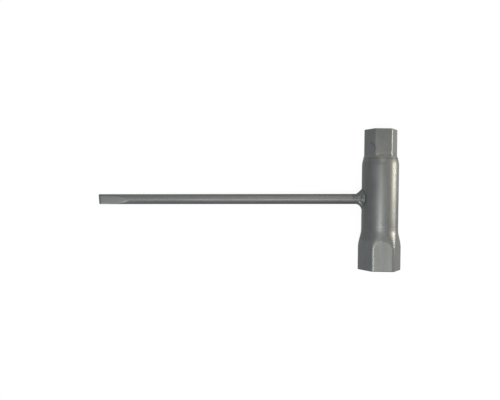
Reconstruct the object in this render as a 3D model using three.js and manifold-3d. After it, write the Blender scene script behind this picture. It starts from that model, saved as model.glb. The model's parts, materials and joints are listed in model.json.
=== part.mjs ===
// A spark plug wrench for chain saws and other small engines: a steel tube with a hexagon
// socket pressed into each end, and a round bar welded to its side that ends in a screwdriver
// blade. Millimetres, +Z up. The wrench lies on the plane z = 0 as it does on a bench: the tube
// runs along Y with the small socket at +Y, and the bar runs to -X.

import * as THREE from "three";
import { mergeVertices } from "three/addons/utils/BufferGeometryUtils.js";
import Module from "manifold-3d";

const wasm = await Module();
wasm.setup();

// Tube
const TUBE_LENGTH = 85;
const TUBE_DIAMETER = 22;
const TUBE_WALL = 2;
const EDGE_BREAK = 0.4;

// Sockets. A nut is measured across its flats, and its socket is wider by the play.
const SOCKET_PLAY = 0.25;
const SOCKET_CORNER = 0.5;
const LARGE_NUT = 19;
const LARGE_WALL = 1.85;
const LARGE_LENGTH = 14;
const LARGE_RUN_OUT = 10.5;
const FLAT_LAG = 0.2; // share of the run by which a flat's middle swells later than the corners
const SMALL_NUT = 13;
const SMALL_WALL = 2.15;
const SMALL_LENGTH = 14.3;
const SMALL_RUN_OUT = 6.4;

// Bar and screwdriver blade
const BAR_DIAMETER = 6.2;
const BAR_REACH = 173; // from the tube's axis to the blade's tip
const BAR_OFF_MIDDLE = 0.5; // from the middle of the tube, towards the small socket
const BAR_OUT_OF_SQUARE = 0.8; // degrees, towards the large socket
const BLADE_LENGTH = 18;
const BLADE_TIP = 1.2;
const TIP_CHAMFER = 0.3;

// Weld. Its legs are measured from the surfaces of the bar and the tube.
const WELD_ALONG_BAR = 4.5;
const WELD_ALONG_TUBE = 4;
const WELD_ROUND_TUBE = 2.4;
const WELD_TOE = 0.3;
const WELD_RIPPLES = 9;
const WELD_RIPPLE_HEIGHT = 0.15;
const SEAM = 0.3; // gap between the welded pieces

// Fineness of the faceted surfaces
const TUBE_SIDES = 60;
const BAR_SIDES = 36;
const WELD_SIDES = 54;
const RUN_OUT_STEPS = 8;
const FILLET_STEPS = 6;
const SETTLING_PASSES = 12;

const TUBE_RADIUS = TUBE_DIAMETER / 2;
const TUBE_MIDDLE = TUBE_LENGTH / 2;
const BAR_RADIUS = BAR_DIAMETER / 2;
const HALF_SIDE_ANGLE = Math.PI / 6; // from the middle of a hexagon's flat to its corner
const UP = new THREE.Vector3(0, 0, 1);

const { lerp, smoothstep, degToRad } = THREE.MathUtils;

// Solids, cuts and pieces

function solidOf(geometry) {
  const bare = geometry.toNonIndexed();
  bare.deleteAttribute("normal");
  bare.deleteAttribute("uv");
  const merged = mergeVertices(bare, 1e-4);
  return new wasm.Manifold(
    new wasm.Mesh({
      numProp: 3,
      vertProperties: new Float32Array(merged.getAttribute("position").array),
      triVerts: new Uint32Array(merged.index.array),
    }),
  );
}

function geometryOf(solid) {
  const { vertProperties, triVerts } = solid.getMesh();
  const geometry = new THREE.BufferGeometry();
  geometry.setAttribute("position", new THREE.BufferAttribute(vertProperties, 3));
  geometry.setIndex(new THREE.BufferAttribute(triVerts, 1));
  return geometry;
}

function cut(geometry, ...cutters) {
  const cutAway = (solid, cutter) => solid.subtract(solidOf(cutter));
  return geometryOf(cutters.reduce(cutAway, solidOf(geometry)));
}

// Turns a loop of rings about Y. Each ring gives its own radius at an angle from +Z.
function turned(rings, sides) {
  const loop = [...rings, rings[0]];
  const profile = loop.map(({ y, radiusAt }) => new THREE.Vector2(radiusAt(0), y));
  const geometry = new THREE.LatheGeometry(profile, sides);
  const position = geometry.getAttribute("position");
  for (let i = 0; i < position.count; i++) {
    const angle = Math.atan2(position.getX(i), position.getZ(i));
    const radius = loop[i % loop.length].radiusAt(angle);
    position.setX(i, radius * Math.sin(angle));
    position.setZ(i, radius * Math.cos(angle));
  }
  return geometry;
}

function piece(name, geometry, colour, roughness) {
  const material = new THREE.MeshStandardMaterial({ color: colour, roughness, metalness: 0.8 });
  const mesh = new THREE.Mesh(geometry, material);
  mesh.name = name;
  return mesh;
}

// Socket tube, along +Y from the large end

// Distance from the centre to a hexagon with rounded corners. The angle is from a flat's middle.
function hexagonRadius(flat, corner, angle) {
  const side = 2 * HALF_SIDE_ANGLE;
  const fromFlat = Math.abs(angle - side * Math.round(angle / side));
  const flatEnd = Math.atan2((flat - corner) * Math.tan(HALF_SIDE_ANGLE), flat);
  if (fromFlat <= flatEnd) return flat / Math.cos(fromFlat);
  const cornerCentre = (flat - corner) / Math.cos(HALF_SIDE_ANGLE);
  const fromCorner = HALF_SIDE_ANGLE - fromFlat;
  const across = cornerCentre * Math.sin(fromCorner);
  return cornerCentre * Math.cos(fromCorner) + Math.sqrt(corner ** 2 - across ** 2);
}

// Radius of a skin that runs from round, at share 0, to hexagonal, at share 1. Where the hexagon
// stands outside the round, the skin swells evenly and the flats cut arches into it. Where it lies
// inside, the skin is drawn in along the whole run.
function skinRadius({ flat, corner, round }, share, angle) {
  const hexagon = hexagonRadius(flat, corner, angle);
  if (hexagon < round) return lerp(round, hexagon, smoothstep(share, 0, 1));
  const lag = (FLAT_LAG * (1 + Math.cos((Math.PI / HALF_SIDE_ANGLE) * angle))) / 2;
  const swollen = smoothstep(share - lag, 0, 1);
  const widest = hexagonRadius(flat, corner, HALF_SIDE_ANGLE);
  return Math.min(lerp(round, widest, swollen), hexagon);
}

function socket(nut, wall, length, runOut) {
  const flat = (nut + SOCKET_PLAY) / 2;
  return {
    length,
    runOut,
    edge: Math.min(EDGE_BREAK, wall / 3),
    inside: { flat, corner: SOCKET_CORNER, round: TUBE_RADIUS - TUBE_WALL },
    outside: { flat: flat + wall, corner: SOCKET_CORNER + wall, round: TUBE_RADIUS },
  };
}

// Rings of one skin of a socket, from its mouth inwards.
function skinRings({ length, runOut, edge }, skin, mouthGrowth) {
  const mouth = { ...skin, flat: skin.flat + mouthGrowth };
  const rings = [
    { depth: 0, radiusAt: (angle) => hexagonRadius(mouth.flat, mouth.corner, angle) },
    { depth: edge, radiusAt: (angle) => skinRadius(skin, 1, angle) },
  ];
  for (let step = 0; step <= RUN_OUT_STEPS; step++) {
    const share = step / RUN_OUT_STEPS;
    rings.push({
      depth: length + runOut * share,
      radiusAt: (angle) => skinRadius(skin, 1 - share, angle),
    });
  }
  return rings;
}

function socketTube() {
  const large = socket(LARGE_NUT, LARGE_WALL, LARGE_LENGTH, LARGE_RUN_OUT);
  const small = socket(SMALL_NUT, SMALL_WALL, SMALL_LENGTH, SMALL_RUN_OUT);
  const fromLargeEnd = ({ depth, radiusAt }) => ({ y: depth, radiusAt });
  const fromSmallEnd = ({ depth, radiusAt }) => ({ y: TUBE_LENGTH - depth, radiusAt });
  const rings = [
    ...skinRings(large, large.outside, -large.edge).map(fromLargeEnd),
    ...skinRings(small, small.outside, -small.edge).map(fromSmallEnd).reverse(),
    ...skinRings(small, small.inside, small.edge).map(fromSmallEnd),
    ...skinRings(large, large.inside, large.edge).map(fromLargeEnd).reverse(),
  ];
  return piece("socket_tube", turned(rings, TUBE_SIDES), 0x74766f, 0.45);
}

// Screwdriver bar, along +Y from the tube's axis, with its blade's flats facing up and down

function screwdriverBar() {
  const profile = [
    new THREE.Vector2(0, TUBE_RADIUS + SEAM),
    new THREE.Vector2(BAR_RADIUS, TUBE_RADIUS + SEAM),
    new THREE.Vector2(BAR_RADIUS, BAR_REACH - TIP_CHAMFER),
    new THREE.Vector2(BAR_RADIUS - TIP_CHAMFER, BAR_REACH),
    new THREE.Vector2(0, BAR_REACH),
  ];
  const bar = new THREE.LatheGeometry(profile, BAR_SIDES);
  const slope = Math.atan2(BAR_RADIUS - BLADE_TIP / 2, BLADE_LENGTH);
  const groundAway = (turn) =>
    new THREE.BoxGeometry(2 * BAR_DIAMETER, 4 * BLADE_LENGTH, BAR_DIAMETER)
      .translate(0, 0, BAR_RADIUS)
      .rotateX(-slope)
      .translate(0, BAR_REACH, BLADE_TIP / 2)
      .rotateY(turn);
  const blade = cut(bar, groundAway(0), groundAway(Math.PI));
  return piece("screwdriver_bar", blade, 0x77776f, 0.42);
}

// Weld bead, around the bar and coped to the tube

function weldBead(tubeTurn) {
  const bore = BAR_RADIUS + SEAM;
  const inTube = TUBE_RADIUS / 2;
  const filletRing = (y, share) => ({
    y,
    radiusAt: (angle) => {
      const leg = lerp(WELD_ALONG_TUBE, WELD_ROUND_TUBE, Math.cos(angle) ** 2);
      const ripple = WELD_RIPPLE_HEIGHT * Math.sin(WELD_RIPPLES * angle) * share;
      return bore + WELD_TOE + leg * share ** 1.5 + ripple;
    },
  });
  const rings = [
    { y: TUBE_RADIUS + WELD_ALONG_BAR, radiusAt: () => bore },
    { y: inTube, radiusAt: () => bore },
    filletRing(inTube, 1),
  ];
  for (let step = 0; step <= FILLET_STEPS; step++) {
    const share = 1 - step / FILLET_STEPS;
    rings.push(filletRing(TUBE_RADIUS + WELD_ALONG_BAR * (1 - share), share));
  }
  const clearance = TUBE_RADIUS + SEAM;
  const tube = new THREE.CylinderGeometry(clearance, clearance, TUBE_LENGTH, 2 * TUBE_SIDES)
    .rotateZ(tubeTurn);
  return piece("weld_bead", cut(turned(rings, WELD_SIDES), tube), 0x686a66, 0.6);
}

// Assembly, laid down on a bench

function lowestPoint(mesh, counts) {
  const position = mesh.geometry.getAttribute("position");
  const lowest = new THREE.Vector3(0, 0, Infinity);
  const point = new THREE.Vector3();
  for (let i = 0; i < position.count; i++) {
    if (!counts(position.getY(i))) continue;
    point.fromBufferAttribute(position, i).applyMatrix4(mesh.matrixWorld);
    if (point.z < lowest.z) lowest.copy(point);
  }
  return lowest;
}

// Turns the wrench until its three feet, under the bar and under each half of the tube, lie in
// one level plane, then keeps the tube along Y and puts the wrench's middle above the origin.
function layDown(wrench, tube, bar) {
  for (let pass = 0; pass < SETTLING_PASSES; pass++) {
    wrench.updateMatrixWorld(true);
    const barFoot = lowestPoint(bar, () => true);
    const largeFoot = lowestPoint(tube, (y) => y < TUBE_MIDDLE);
    const smallFoot = lowestPoint(tube, (y) => y > TUBE_MIDDLE);
    const normal = largeFoot.sub(barFoot).cross(smallFoot.sub(barFoot)).normalize();
    wrench.quaternion.premultiply(new THREE.Quaternion().setFromUnitVectors(normal, UP));
  }
  const tubeAxis = new THREE.Vector3(0, 1, 0).applyQuaternion(wrench.quaternion);
  wrench.rotateOnWorldAxis(UP, Math.atan2(tubeAxis.x, tubeAxis.y));
  const box = new THREE.Box3().setFromObject(wrench, true);
  const middle = box.getCenter(new THREE.Vector3());
  wrench.position.set(-middle.x, -middle.y, -box.min.z);
}

const tube = socketTube();
const bar = screwdriverBar();
const armTurn = Math.PI / 2 + degToRad(BAR_OUT_OF_SQUARE);

const arm = new THREE.Group();
arm.name = "arm";
arm.position.y = TUBE_MIDDLE + BAR_OFF_MIDDLE;
arm.rotation.z = armTurn;
arm.add(bar, weldBead(-armTurn));

const wrench = new THREE.Group();
wrench.name = "wrench";
wrench.add(tube, arm);
layDown(wrench, tube, bar);

const group = new THREE.Group();
group.name = "spark_plug_wrench";
group.add(wrench);

export default group;
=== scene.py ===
import json
import math

import bmesh
import bpy
import numpy as np
from bpy.props import FloatProperty, FloatVectorProperty, IntProperty, PointerProperty
from mathutils import Matrix, Vector


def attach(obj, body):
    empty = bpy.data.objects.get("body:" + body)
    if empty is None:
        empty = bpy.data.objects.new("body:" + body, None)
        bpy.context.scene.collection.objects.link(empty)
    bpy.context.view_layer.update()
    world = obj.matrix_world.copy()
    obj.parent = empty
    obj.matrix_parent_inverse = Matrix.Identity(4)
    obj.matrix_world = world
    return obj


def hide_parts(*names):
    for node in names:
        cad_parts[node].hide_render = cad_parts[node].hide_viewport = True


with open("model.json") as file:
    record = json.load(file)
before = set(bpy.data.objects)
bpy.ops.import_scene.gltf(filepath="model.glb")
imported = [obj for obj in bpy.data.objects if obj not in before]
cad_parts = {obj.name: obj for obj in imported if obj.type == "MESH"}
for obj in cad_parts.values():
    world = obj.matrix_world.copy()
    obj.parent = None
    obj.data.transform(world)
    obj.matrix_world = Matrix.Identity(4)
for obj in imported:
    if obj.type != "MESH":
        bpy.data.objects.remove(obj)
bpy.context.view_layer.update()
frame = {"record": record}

bl_info = {
    "name": "Spark plug wrench",
    "version": (1, 0, 0),
    "blender": (4, 5, 0),
    "location": "3D View > Sidebar > Wrench",
    "description": "Models a welded spark plug wrench with a screwdriver blade, and a plain stage for it",
    "category": "Add Mesh",
}

MM = 0.001
HALF_SIDE_ANGLE = math.pi / 6  # from the middle of a hexagon's flat to its corner
SAME_PLACE = 1e-7  # points closer than this, in metres, are one
SHARP_ANGLE = math.radians(40)  # edges that turn more than this stay sharp


# Sizes and colours


def distance(name, description, millimetres):
    return FloatProperty(
        name=name,
        description=description,
        default=millimetres * MM,
        unit="LENGTH",
        subtype="DISTANCE",
        precision=5,
    )


def angle(name, description, degrees):
    return FloatProperty(
        name=name,
        description=description,
        default=math.radians(degrees),
        unit="ROTATION",
        subtype="ANGLE",
    )


def share(name, description, default):
    return FloatProperty(
        name=name, description=description, default=default, min=0, max=1, subtype="FACTOR"
    )


def count(name, description, default):
    return IntProperty(name=name, description=description, default=default, min=3)


def colour(name, description, default):
    return FloatVectorProperty(
        name=name, description=description, default=default, size=3, min=0, max=1, subtype="COLOR"
    )


def power(name, description, watts):
    return FloatProperty(name=name, description=description, default=watts, min=0, unit="POWER")


class TubeSizes(bpy.types.PropertyGroup):
    """Sizes of the socket tube"""

    length: distance("Length", "From mouth to mouth", 85)
    diameter: distance("Diameter", "Outside, between the sockets", 22)
    wall: distance("Wall", "Thickness between the sockets", 2)
    edge: distance("Edge", "Rounding of both mouths", 0.4)
    large_flat: distance("Large flat", "From the axis to an inner flat of the large socket", 9.625)
    large_wall: distance("Large wall", "Thickness of the large socket", 1.845)
    large_length: distance("Large length", "Depth of the large hexagon", 14)
    large_run_out: distance("Large run-out", "From the large hexagon to the round tube", 10.5)
    small_flat: distance("Small flat", "From the axis to an inner flat of the small socket", 6.625)
    small_wall: distance("Small wall", "Thickness of the small socket", 2.15)
    small_length: distance("Small length", "Depth of the small hexagon", 14.3)
    small_run_out: distance("Small run-out", "From the small hexagon to the round tube", 7.6)
    small_corner: distance("Small corner", "Corner radius outside the small socket", 1.5)
    inner_corner: distance("Inner corner", "Corner radius inside both sockets", 0.5)
    inset: distance("Inset", "How far each mouth stays inside the row's box", 0.003)
    flat_start: share("Flat start", "Part of the large run-out along which the flats rise", 0.61)
    lip: distance("Lip", "Height of the arch that ends a flat in the flare", 0.15)
    lip_width: distance("Lip width", "Width of the arch's slope", 0.7)
    crown: distance("Crown", "How far the flare swells towards the top of the arch", 0.11)
    dish: distance("Dish", "Hollow in the middle of each flat", 0.05)
    ring_depth: distance("Ring depth", "Depth of the line that the die left behind each socket", 0.1)
    sides: count("Sides", "Steps of the spin", 192)
    rows: count("Rows", "Cuts along the outside", 170)
    inner_rows: count("Inner rows", "Cuts along the inside", 100)


class BarSizes(bpy.types.PropertyGroup):
    """Sizes of the bar and its screwdriver blade"""

    diameter: distance("Diameter", "Thickness of the bar", 6.2)
    reach: distance("Reach", "From the tube's axis to the tip", 173)
    off_middle: distance("Off middle", "From the middle of the tube, towards the small socket", 0.5)
    out_of_square: angle("Out of square", "Lean of the bar towards the large socket", 0.8)
    blade_length: distance("Blade length", "Length of the ground flats", 18.5)
    blade_tip: distance("Blade tip", "Thickness at the tip", 1.2)
    heel: distance("Heel", "Length of the shallower start of the upper flat", 9.6)
    heel_depth: distance("Heel depth", "Depth of the upper flat where the heel ends", 1.15)
    tip_slant: angle("Tip slant", "How far the tip is off square", 0.8)
    tip_round: distance("Tip round", "Rounding of the tip", 0.5)
    tip_bevel: distance("Tip bevel", "Length of the steeper end of the flats", 1.3)
    tip_drop: distance("Tip drop", "How much the steeper end falls", 0.25)
    flat_round: distance("Flat round", "Rounding where the flats meet the bar", 0.12)
    crown: distance("Crown", "Fall of the flats towards their edges", 0.12)
    roll: angle("Roll", "Turn of the blade about the bar", 12)
    sides: count("Sides", "Sides of the bar", 96)


class WeldSizes(bpy.types.PropertyGroup):
    """Sizes of the weld around the bar"""

    lumps: distance("Lumps", "Height of the lumps", 0.14)
    lump_size: distance("Lump size", "Distance between the lumps", 1.8)
    ripples: distance("Ripples", "Height of the ripples round the bead", 0.012)
    undercut: distance("Undercut", "Depth of the groove that the weld left round its edge", 0.1)
    sides: count("Sides", "Steps round the bar", 144)
    rows: count("Rows", "Steps round the section", 56)


class SteelFinish(bpy.types.PropertyGroup):
    """Colours and gloss of the steel"""

    tube: colour("Tube", "Satin coating of the tube", (0.097, 0.102, 0.102))
    bar: colour("Bar", "Satin coating of the bar", (0.105, 0.107, 0.11))
    weld: colour("Weld", "Weld metal", (0.08, 0.085, 0.085))
    # The ground colour is also painted on the tube and the blade's edges as highlights.
    ground: colour("Ground", "Ground steel of the blade", (0.174, 0.176, 0.176))
    # The bare colour is also laid as painted highlights on the blade's lower edges and on the weld.
    bare: colour("Bare", "Steel where the coating is worn through", (0.3, 0.3, 0.285))
    # The smut colour is also the colour of the painted shade on the tube, bar and weld.
    smut_and_shade: colour("Smut", "Dark film near the weld and in scratches", (0.05, 0.053, 0.052))
    metal: share("Metal", "How metallic the coating is", 0.5)
    roughness: share("Roughness", "Roughness of the coating", 0.37)
    line_height: distance("Line height", "Depth of the fine lines left by drawing", 0.002)


class StageLight(bpy.types.PropertyGroup):
    """Light and camera of the stage"""

    sky: colour("Sky", "Even light from all round", (0.228, 0.289, 0.35))
    key: power("Key", "Small lamp overhead", 2.23)
    rear: power("Rear", "Large lamp behind", 1.42)
    left: power("Left", "Lamp high in front, at the left", 0.43)
    front: power("Front", "Lamp high in front, at the right", 0.57)
    side: power("Side", "Tall lamp low at the right", 2.92)
    low: power("Low", "Flat lamp just above the floor at the right", 1.27)
    far: power("Far", "Lamp low behind", 0.39)
    lens: FloatProperty(name="Lens", description="Focal length in millimetres", default=39.62, min=1)


# Modelling aids


def deselect():
    """Leave nothing selected, so that an operator acts on the next piece alone."""
    bpy.ops.object.select_all(action="DESELECT")


def open_mesh():
    """Open the active piece in edit mode with all of it selected."""
    bpy.ops.object.mode_set(mode="EDIT")
    bpy.ops.mesh.select_all(action="SELECT")


def close_mesh():
    """Merge doubles, turn the faces outwards and leave edit mode."""
    bpy.ops.mesh.select_all(action="SELECT")
    bpy.ops.mesh.remove_doubles(threshold=SAME_PLACE)
    bpy.ops.mesh.normals_make_consistent(inside=False)
    bpy.ops.object.mode_set(mode="OBJECT")


def select_edges(piece, test):
    """In edit mode, select only the edges that pass the test of their two ends."""
    bpy.ops.mesh.select_mode(type="EDGE")
    bpy.ops.mesh.select_all(action="DESELECT")
    mesh = bmesh.from_edit_mesh(piece.data)
    for edge in mesh.edges:
        edge.select_set(test(edge.verts[0].co, edge.verts[1].co))
    mesh.select_flush_mode()
    bmesh.update_edit_mesh(piece.data)


def name_piece(piece, name):
    piece.name = name
    piece.data.name = name


def points_of(piece):
    points = np.empty(len(piece.data.vertices) * 3)
    piece.data.vertices.foreach_get("co", points)
    return points.reshape(-1, 3)


def move_points(piece, points):
    piece.data.vertices.foreach_set("co", points.astype(np.float32).ravel())
    piece.data.update()


def mark(piece, name, values):
    """Keep one number per point, which the piece's material reads."""
    layer = piece.data.attributes.new(name, "FLOAT", "POINT")
    layer.data.foreach_set("value", np.clip(values, 0, 1).astype(np.float32))


def smoothstep(value):
    value = np.clip(value, 0, 1)
    return value * value * (3 - 2 * value)


def fade(value, start, end):
    """Smoothly from 0 where the value is at the start to 1 at the end, which may be the lesser one."""
    return smoothstep((value - start) / (end - start))


def soft_min(first, second, softness):
    """The lesser of two values, rounded over where they are about equal."""
    near = np.clip(1 - np.abs(first - second) / softness, 0, 1)
    return np.minimum(first, second) - softness * near * near / 4


def hump(value, middle, width):
    """1 at the middle, falling to 0 on both sides in about twice the width."""
    return np.exp(-(((value - middle) / width) ** 2))


def turn_of(points):
    """Angle of each point round the tube's axis, from the upper flat towards the right."""
    return np.arctan2(points[:, 0], points[:, 2])


# Place of the wrench


def record_flat(name):
    """Place and facing of a flat that the record names."""
    mount = next(m for m in frame["record"]["mounts"] if m["name"] == name)
    return Vector(mount["pos_m"]), Vector(mount["axis"])


def wrench_place(tube):
    """The wrench's own frame: origin in the large mouth, Y along the tube, Z out of an upper flat."""
    large, up = record_flat("large_socket_flat")
    small, _ = record_flat("small_socket_flat")
    along = (small + up * tube.small_flat - large - up * tube.large_flat).normalized()
    up = (up - along * up.dot(along)).normalized()
    across = along.cross(up)
    mount_depth = (tube.edge + tube.large_length) / 2
    origin = large + up * tube.large_flat - along * mount_depth
    turn = Matrix((across, along, up)).transposed()
    return Matrix.Translation(origin) @ turn.to_4x4()


def arm_place(tube, bar):
    """The bar's own frame in the row frame: Y along the bar from the tube's axis, Z as the wrench's."""
    middle = Vector((0, tube.length / 2 + bar.off_middle, 0))
    turn = Matrix.Rotation(math.pi / 2 + bar.out_of_square, 4, "Z")
    return wrench_place(tube) @ Matrix.Translation(middle) @ turn


def finish_piece(piece, place, node, material):
    """Put a piece in its place in the row frame, and let it stand for its CAD node."""
    piece.matrix_world = place
    deselect()
    piece.select_set(True)
    bpy.context.view_layer.objects.active = piece
    bpy.ops.object.transform_apply(location=True, rotation=True, scale=True)
    bpy.ops.object.shade_smooth_by_angle(angle=SHARP_ANGLE)
    piece.data.materials.clear()
    piece.data.materials.append(material)
    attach(piece, "root")
    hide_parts(node)


# Socket tube

SMALL_FADE = 0.42  # part of the small run-out in which the flats run into the cone
LIP_FADE = 0.2  # part of the large run-out in which the arch's lip dies away into the flat
CROWN_START = 0.2  # part of the large run-out at which the flare starts to swell
CROWN_FULL = 0.6  # part of the large run-out at which it is fully swollen
ARCH_MARGIN = 0.4  # how far an arch stands outside its flat's corners, in lip widths
RIGHT_ARCH = 3.3 * MM  # height of the arch in which the right flat of the small hexagon ends

# Stretches of the tube's outside with three times the rows, in millimetres from the large mouth.
FINE_ROWS = ((12, 29), (62, 73))


def off_flat(turn):
    """Angle from the middle of the nearest flat of a hexagon, less than 0 at its left."""
    side = 2 * HALF_SIDE_ANGLE
    return turn - side * np.round(turn / side)


def hexagon_radius(flat, corner, turn, dish=0.0):
    """Distance from the axis to a hexagon with rounded corners and slightly hollow or swollen flats."""
    from_flat = np.abs(off_flat(turn))
    flat_end = np.maximum((flat - corner) * math.tan(HALF_SIDE_ANGLE) / flat, 1e-9)
    across = np.tan(from_flat) / flat_end
    on_flat = (flat - dish * np.clip(1 - across**2, 0, 1)) / np.cos(from_flat)
    corner_centre = (flat - corner) / math.cos(HALF_SIDE_ANGLE)
    from_corner = HALF_SIDE_ANGLE - from_flat
    off_centre = np.minimum(corner_centre * np.sin(from_corner), corner)
    on_corner = corner_centre * np.cos(from_corner) + np.sqrt(corner**2 - off_centre**2)
    return np.where(across <= 1, on_flat, on_corner)


def large_press(tube, along):
    """How far the die of the large socket has pressed the tube: 0 where it is round, 1 in the socket."""
    return 1 - (along - tube.large_length) / tube.large_run_out


def small_press(tube, along):
    """How far the die of the small socket has pressed the tube: 0 where it is round, 1 in the socket."""
    return 1 - (tube.length - along - tube.small_length) / tube.small_run_out


def small_skin(tube, flat, corner, plain, pressed, turn):
    """Radius at the small socket, whose flats run out in a cone up to the round tube."""
    pressed = np.clip(pressed, 0, 1)
    widest = hexagon_radius(flat, corner, HALF_SIDE_ANGLE)
    hexagon = hexagon_radius(flat, corner, turn, tube.dish)
    cone = widest + (plain - widest) * smoothstep(1 - pressed)
    return hexagon + (cone - hexagon) * smoothstep((1 - pressed) / SMALL_FADE)


def arch_distance(tube, flat, corner, pressed, turn):
    """Distance inside the round arch that ends a large flat in the flare, seen square to the flat."""
    half_width = (flat - corner) * math.tan(HALF_SIDE_ANGLE) + ARCH_MARGIN * tube.lip_width
    to_top = (1 - np.clip(pressed, 0, 1)) / (1 - tube.flat_start)
    return half_width - np.hypot(flat * np.tan(off_flat(turn)), half_width * to_top)


def large_skin(tube, flat, corner, plain, pressed, turn):
    """Radius at the large socket: a flare with ever sharper corners, in which each flat ends in an arch."""
    pressed = np.clip(pressed, 0, 1)
    widest = hexagon_radius(flat, corner, HALF_SIDE_ANGLE)
    swelling = smoothstep(pressed)
    rise = np.minimum(swelling / smoothstep(tube.flat_start), 1)
    above_flat = smoothstep((1 - pressed) / LIP_FADE)
    lip = tube.lip * above_flat
    middle = plain + (flat - tube.lip - plain) * rise + tube.lip - lip
    middle = np.minimum(middle, flat - lip * rise)
    crown = tube.crown * above_flat * fade(pressed, CROWN_START, CROWN_FULL)
    ridge = plain + (widest - plain) * swelling
    slack = 1 / math.cos(HALF_SIDE_ANGLE) - 1
    rounding = np.clip(((1 + slack) * middle - ridge) / slack, corner, middle)
    flare = hexagon_radius(middle, rounding, turn, -crown)
    hexagon = hexagon_radius(flat, corner, turn, tube.dish * fade(pressed, tube.flat_start, 1))
    on_arch = smoothstep(arch_distance(tube, flat, corner, pressed, turn) / tube.lip_width + 0.5)
    return flare + (hexagon - flare) * on_arch


def tube_skin(tube, along, turn, outside):
    """Radius of the tube's outside or bore at a distance from the large mouth."""
    plain = tube.diameter / 2 - (0 if outside else tube.wall)
    grow = tube.large_wall if outside else 0
    corner = tube.inner_corner + grow
    large = large_skin(tube, tube.large_flat + grow, corner, plain, large_press(tube, along), turn)
    grow = tube.small_wall if outside else 0
    corner = tube.small_corner if outside else tube.inner_corner
    small = small_skin(tube, tube.small_flat + grow, corner, plain, small_press(tube, along), turn)
    return np.where(along < tube.length / 2, large, small)


def draw_wall(tube):
    """Draw the wall's section beside the axis: a long outline with rounded ends."""
    deselect()
    middle = (tube.diameter - tube.wall) / 2
    bpy.ops.mesh.primitive_plane_add(size=1, location=(middle, tube.length / 2, 0))
    piece = bpy.context.object
    piece.scale = (tube.wall, tube.length - 2 * tube.inset, 1)
    bpy.ops.object.transform_apply(location=True, rotation=True, scale=True)
    open_mesh()
    bpy.ops.mesh.bevel(offset=tube.edge, segments=4, affect="VERTICES")
    bpy.ops.mesh.select_all(action="SELECT")
    bpy.ops.mesh.delete(type="ONLY_FACE")
    for outside, cuts in ((True, tube.rows), (False, tube.inner_rows)):
        select_edges(
            piece,
            lambda a, b: abs(a.y - b.y) > tube.length / 2 and (a.x > middle) == outside,
        )
        bpy.ops.mesh.subdivide(number_cuts=cuts)
    for start, end in FINE_ROWS:
        select_edges(
            piece,
            lambda a, b: min(a.x, b.x) > middle
            and start * MM < min(a.y, b.y)
            and max(a.y, b.y) < end * MM,
        )
        bpy.ops.mesh.subdivide(number_cuts=2)
    return piece


def sort_faces(piece):
    """Put the faces in the order of their points, because a spin leaves them in no set order."""
    mesh = bmesh.new()
    mesh.from_mesh(piece.data)
    number = len(mesh.verts)

    def order(face):
        indices = [corner.index for corner in face.verts]
        return min(indices) * number + max(indices)

    mesh.faces.sort(key=order)
    mesh.to_mesh(piece.data)
    mesh.free()


def spin_wall(piece, tube):
    """Spin the wall's outline once round the tube's axis."""
    bpy.ops.mesh.select_all(action="SELECT")
    bpy.ops.mesh.spin(
        steps=tube.sides,
        angle=2 * math.pi,
        use_auto_merge=True,
        center=(0, 0, 0),
        axis=(0, 1, 0),
    )
    close_mesh()
    sort_faces(piece)


# Scratch over the corner of the small hexagon: points on it in millimetres, in the wrench's own frame.
SCRATCH = (
    (-6.7, 76.5, 5.9),
    (-6.1, 75.8, 7.0),
    (-5.4, 74.9, 8.1),
    (-4.75, 74.0, 8.5),
    (-4.5, 73.1, 8.6),
    (-4.6, 72.3, 8.55),
    (-5.0, 71.4, 8.3),
)


def distance_to_line(points, line):
    """Distance from each point to the nearest place on a line through given points."""
    nearest = np.full(len(points), np.inf)
    for start, end in zip(line[:-1], line[1:]):
        along = end - start
        part = np.clip((points - start) @ along / (along @ along), 0, 1)
        away = np.linalg.norm(points - start - part[:, None] * along, axis=1)
        nearest = np.minimum(nearest, away)
    return nearest


def skin_side(points, bore):
    """1 on the tube's outside and 0 in its bore."""
    return np.hypot(points[:, 0], points[:, 2]) > bore + 0.5 * MM


def right_side(turn):
    """1 on the right flat of the small hexagon and its corners, and 0 elsewhere."""
    degrees = np.degrees(turn)
    return fade(degrees, 24, 32) * fade(degrees, 112, 104)


def small_ring(tube):
    """Place along the tube of the line that the die left behind the small hexagon."""
    return tube.length - tube.small_length - 3.45 * MM


def die_rings(tube, along, turn):
    """How deep the lines that the dies left across the tube are, in ring depths."""
    behind_large = hump(along, tube.large_length + tube.large_run_out + 1.3 * MM, 0.35 * MM)
    behind_small = hump(along, small_ring(tube), 0.28 * MM)
    flat_end = hump(along, tube.length - tube.small_length - 0.4 * MM, 0.3 * MM)
    return 0.25 * behind_large + (1.2 - 0.9 * right_side(turn)) * behind_small + 0.4 * flat_end


def press_sockets(piece, tube):
    """Press a hexagon into each end of the round tube, as a die does, and keep where its edges wear."""
    points = points_of(piece)
    along = points[:, 1]
    turn = turn_of(points)
    bore = tube.diameter / 2 - tube.wall
    depth = (np.hypot(points[:, 0], points[:, 2]) - bore) / tube.wall
    outer = tube_skin(tube, along, turn, True) - tube.ring_depth * die_rings(tube, along, turn)
    inner = tube_skin(tube, along, turn, False)
    radius = inner + (outer - inner) * depth
    points[:, 0] = radius * np.sin(turn)
    points[:, 2] = radius * np.cos(turn)
    move_points(piece, points)

    from_corner = HALF_SIDE_ANGLE - np.abs(off_flat(turn))
    at_large = smoothstep(1 - (along - tube.large_length) / (0.6 * tube.large_run_out))
    at_small = smoothstep(small_press(tube, along))
    corners = hump(from_corner * radius, 0, 0.8 * MM) * np.maximum(at_large, at_small)
    mouths = hump(np.minimum(along, tube.length - along), 0, 0.5 * MM)
    mark(piece, "edge", np.maximum(0.35 * corners * (depth > 0.5), 0.7 * mouths))


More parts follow.
